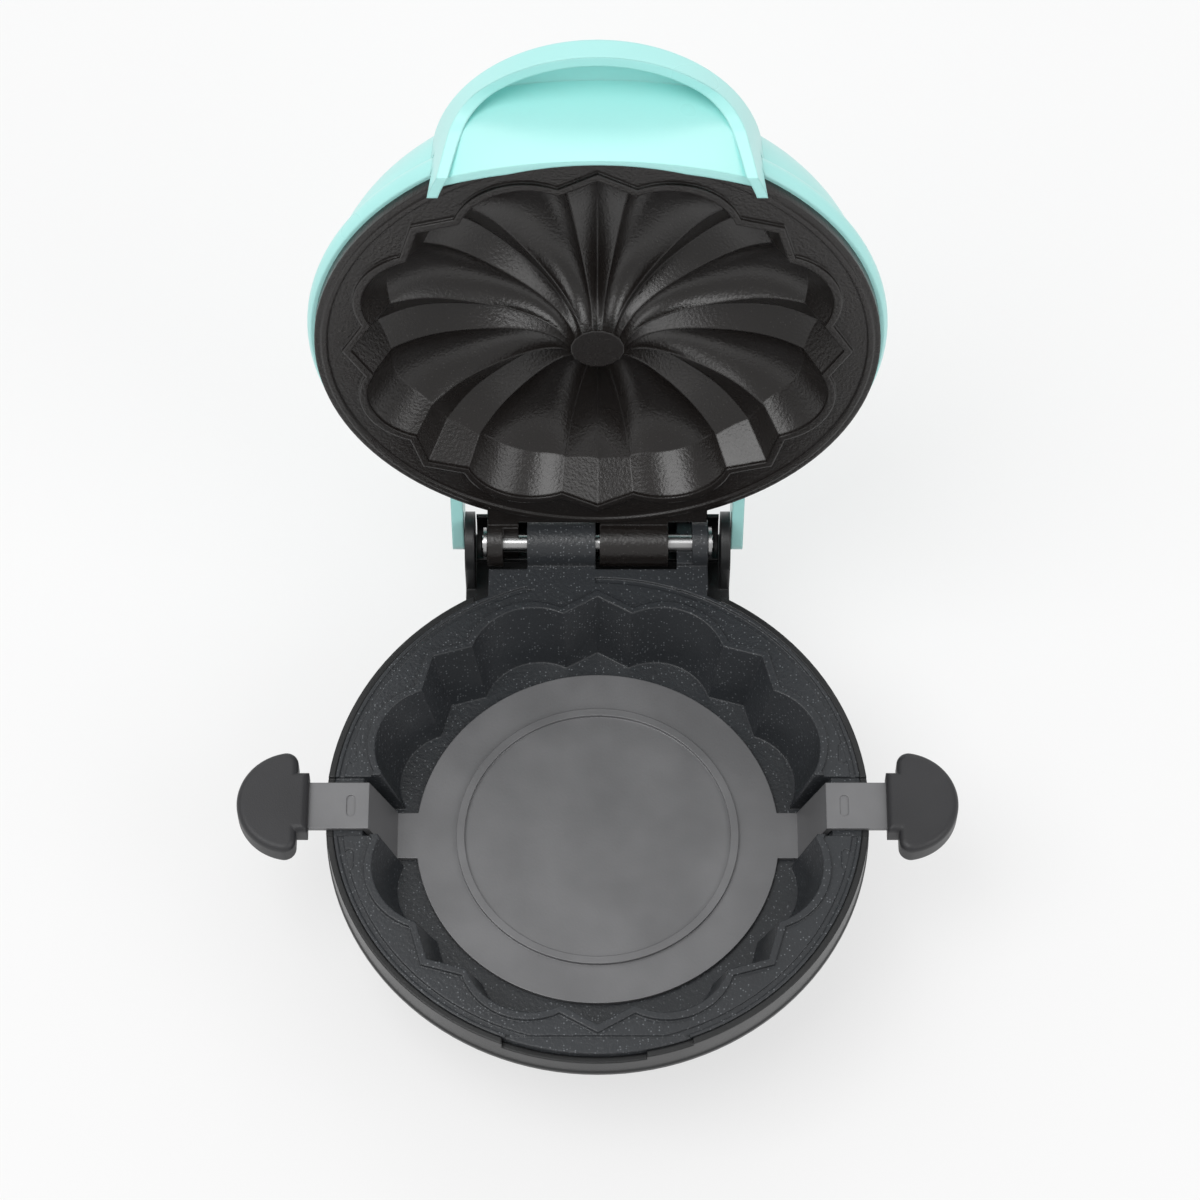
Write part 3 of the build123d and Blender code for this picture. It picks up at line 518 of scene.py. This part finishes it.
class CAKEMAKER_OT_inner_parts(bpy.types.Operator):
    """Steel, sheet and ceramic on the hinge pin, heaters, shields and wiring parts"""

    bl_idname = "cakemaker.inner_parts"
    bl_label = "Pin and inner parts"

    def execute(self, context):
        grain = shared_groups()[0]
        MATERIALS["zinc_steel"] = grained_material(
            "bright steel",
            grain,
            (0.60, 0.60, 0.60),
            (0.52, 0.52, 0.52),
            (0.22, 0.30),
            1500.0,
            60.0,
            0.00001,
            Metallic=1.0,
        )
        MATERIALS["heater_steel"] = grained_material(
            "heater steel",
            grain,
            (0.30, 0.27, 0.25),
            (0.20, 0.19, 0.20),
            (0.4, 0.5),
            900.0,
            60.0,
            0.00002,
            Metallic=0.9,
        )
        MATERIALS["shield_aluminium"] = grained_material(
            "shield aluminium",
            grain,
            (0.72, 0.72, 0.72),
            (0.66, 0.66, 0.66),
            (0.32, 0.4),
            900.0,
            30.0,
            0.00002,
            Metallic=1.0,
        )
        MATERIALS["ceramic_white"] = grained_material(
            "white ceramic",
            grain,
            (0.78, 0.76, 0.70),
            (0.72, 0.70, 0.64),
            (0.5, 0.6),
            900.0,
            60.0,
            0.00003,
        )
        for slot in ("zinc_steel", "heater_steel", "shield_aluminium", "ceramic_white"):
            finish_pieces(slot)
        return {"FINISHED"}


class CAKEMAKER_OT_hinge_guard(bpy.types.Operator):
    """A curved trough behind the knuckles, between the two ears of the base"""

    bl_idname = "cakemaker.hinge_guard"
    bl_label = "Hinge guard"

    def execute(self, context):
        sizes = context.scene.cake_sizes
        form = bmesh.new()
        inner, outer = sizes.guard_radius, sizes.guard_radius + sizes.guard_wall
        start, sweep = math.radians(GUARD_START), math.radians(GUARD_SWEEP)
        direction = Vector((0.0, math.cos(start), math.sin(start)))
        corners = [
            form.verts.new(HINGE_POINT + Vector((x, 0, 0)) + direction * reach)
            for x, reach in (
                (-sizes.guard_half_width, inner),
                (sizes.guard_half_width, inner),
                (sizes.guard_half_width, outer),
                (-sizes.guard_half_width, outer),
            )
        ]
        section = form.faces.new(corners)
        bmesh.ops.spin(
            form,
            geom=[section, *section.edges, *section.verts],
            cent=HINGE_POINT,
            axis=(1, 0, 0),
            angle=sweep,
            steps=GUARD_STEPS,
        )
        bmesh.ops.remove_doubles(form, verts=form.verts, dist=MERGE_DISTANCE)
        new_piece("hinge_guard", form, "base", "black_plastic")
        return {"FINISHED"}


def make_stage():
    """Floor, lights and camera."""
    mesh = bpy.data.meshes.new("floor")
    form = bmesh.new()
    bmesh.ops.create_grid(form, x_segments=2, y_segments=2, size=FLOOR_HALF_WIDTH)
    form.to_mesh(mesh)
    form.free()
    floor = bpy.data.objects.new("floor", mesh)
    bpy.context.scene.collection.objects.link(floor)
    material, tree, shader = new_material("white floor")
    shader.inputs["Base Color"].default_value = (0.80, 0.80, 0.80, 1.0)
    shader.inputs["Roughness"].default_value = 0.9
    shader.inputs["Specular IOR Level"].default_value = 0.0
    paper = place_node(tree, "ShaderNodeEmission", -200, -200)
    paper.inputs["Color"].default_value = (1.0, 1.0, 1.0, 1.0)
    paper.inputs["Strength"].default_value = 1.0
    path = place_node(tree, "ShaderNodeLightPath", -600, 200)
    share = place_node(tree, "ShaderNodeMath", -300, 200, operation="MULTIPLY")
    share.inputs[1].default_value = FLOOR_GLOW
    mix = place_node(tree, "ShaderNodeMixShader", 200, 0)
    out = tree.nodes["Material Output"]
    seen = place_node(tree, "ShaderNodeMath", -450, 300, operation="ADD")
    seen_through = place_node(tree, "ShaderNodeMath", -450, 100, operation="ADD", use_clamp=True)
    tree.links.new(path.outputs["Is Camera Ray"], seen.inputs[0])
    tree.links.new(path.outputs["Is Glossy Ray"], seen.inputs[1])
    tree.links.new(seen.outputs["Value"], seen_through.inputs[0])
    tree.links.new(path.outputs["Is Transmission Ray"], seen_through.inputs[1])
    tree.links.new(seen_through.outputs["Value"], share.inputs[0])
    tree.links.new(share.outputs["Value"], mix.inputs["Fac"])
    tree.links.new(shader.outputs["BSDF"], mix.inputs[1])
    tree.links.new(paper.outputs["Emission"], mix.inputs[2])
    tree.links.new(mix.outputs["Shader"], out.inputs["Surface"])
    floor.data.materials.append(material)

    world = bpy.data.worlds.new("studio")
    bpy.context.scene.world = world
    world.use_nodes = True
    background = world.node_tree.nodes["Background"]
    background.inputs["Color"].default_value = (1.0, 1.0, 1.0, 1.0)
    background.inputs["Strength"].default_value = WORLD_STRENGTH

    def soft_lamp(name, place, target, size, power):
        lamp = bpy.data.lights.new(name, "AREA")
        lamp.shape = "RECTANGLE"
        lamp.size, lamp.size_y = size
        lamp.energy = power
        holder = bpy.data.objects.new(name, lamp)
        holder.location = place
        holder.rotation_euler = (Vector(target) - Vector(place)).to_track_quat("-Z", "Y").to_euler()
        bpy.context.scene.collection.objects.link(holder)

    soft_lamp("key", (-0.5, -0.2, 1.3), (0, 0.05, 0.06), (0.9, 0.9), 9.0)
    soft_lamp("fill", (0.9, -0.5, 0.9), (0, 0.05, 0.06), (0.8, 0.8), 4.0)
    soft_lamp("back", (0.0, 1.1, 1.0), (0, 0.1, 0.06), (1.2, 0.5), 4.0)

    elevation = math.radians(CAMERA_ELEVATION)
    aim = Vector(CAMERA_AIM)
    backward = Vector((0, -math.cos(elevation), math.sin(elevation)))
    upward = Vector((0, math.sin(elevation), math.cos(elevation)))
    camera = bpy.data.cameras.new("camera")
    camera.sensor_width = CAMERA_SENSOR
    camera.lens = CAMERA_LENS
    holder = bpy.data.objects.new("camera", camera)
    turn = Matrix((Vector((1, 0, 0)), upward, backward)).transposed().to_4x4()
    holder.matrix_world = Matrix.Translation(aim + backward * CAMERA_DISTANCE) @ turn
    bpy.context.scene.collection.objects.link(holder)
    bpy.context.scene.camera = holder
    bpy.context.scene.view_settings.view_transform = "Standard"


class CAKEMAKER_OT_stage(bpy.types.Operator):
    """Pale floor, soft lamps and the camera"""

    bl_idname = "cakemaker.stage"
    bl_label = "Stage"

    def execute(self, context):
        make_stage()
        return {"FINISHED"}


OPERATORS = (
    CAKEMAKER_OT_stage,
    CAKEMAKER_OT_lid_shell,
    CAKEMAKER_OT_base_shell,
    CAKEMAKER_OT_plates,
    CAKEMAKER_OT_lifter,
    CAKEMAKER_OT_inner_parts,
    CAKEMAKER_OT_hinge_guard,
)


class CAKEMAKER_PT_panel(bpy.types.Panel):
    """Sizes, colours and the operators that make the cake maker"""

    bl_idname = "CAKEMAKER_PT_panel"
    bl_label = "Mini cake maker"
    bl_space_type = "VIEW_3D"
    bl_region_type = "UI"
    bl_category = "Cake maker"

    def draw(self, context):
        layout = self.layout
        for group in (context.scene.cake_colours, context.scene.cake_sizes):
            box = layout.box()
            for name in group.bl_rna.properties.keys():
                if name not in ("rna_type", "name"):
                    box.prop(group, name)
        for operator in OPERATORS:
            layout.operator(operator.bl_idname)


CLASSES = (CakeMakerColours, CakeMakerSizes, *OPERATORS, CAKEMAKER_PT_panel)


def register():
    for cls in CLASSES:
        bpy.utils.register_class(cls)
    bpy.types.Scene.cake_colours = PointerProperty(type=CakeMakerColours)
    bpy.types.Scene.cake_sizes = PointerProperty(type=CakeMakerSizes)


def unregister():
    del bpy.types.Scene.cake_sizes
    del bpy.types.Scene.cake_colours
    for cls in reversed(CLASSES):
        bpy.utils.unregister_class(cls)


def main():
    """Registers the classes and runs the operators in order."""
    register()
    bpy.ops.cakemaker.stage()
    bpy.ops.cakemaker.lid_shell()
    bpy.ops.cakemaker.base_shell()
    bpy.ops.cakemaker.plates()
    bpy.ops.cakemaker.lifter()
    bpy.ops.cakemaker.inner_parts()
    bpy.ops.cakemaker.hinge_guard()


if __name__ == "__main__":
    main()
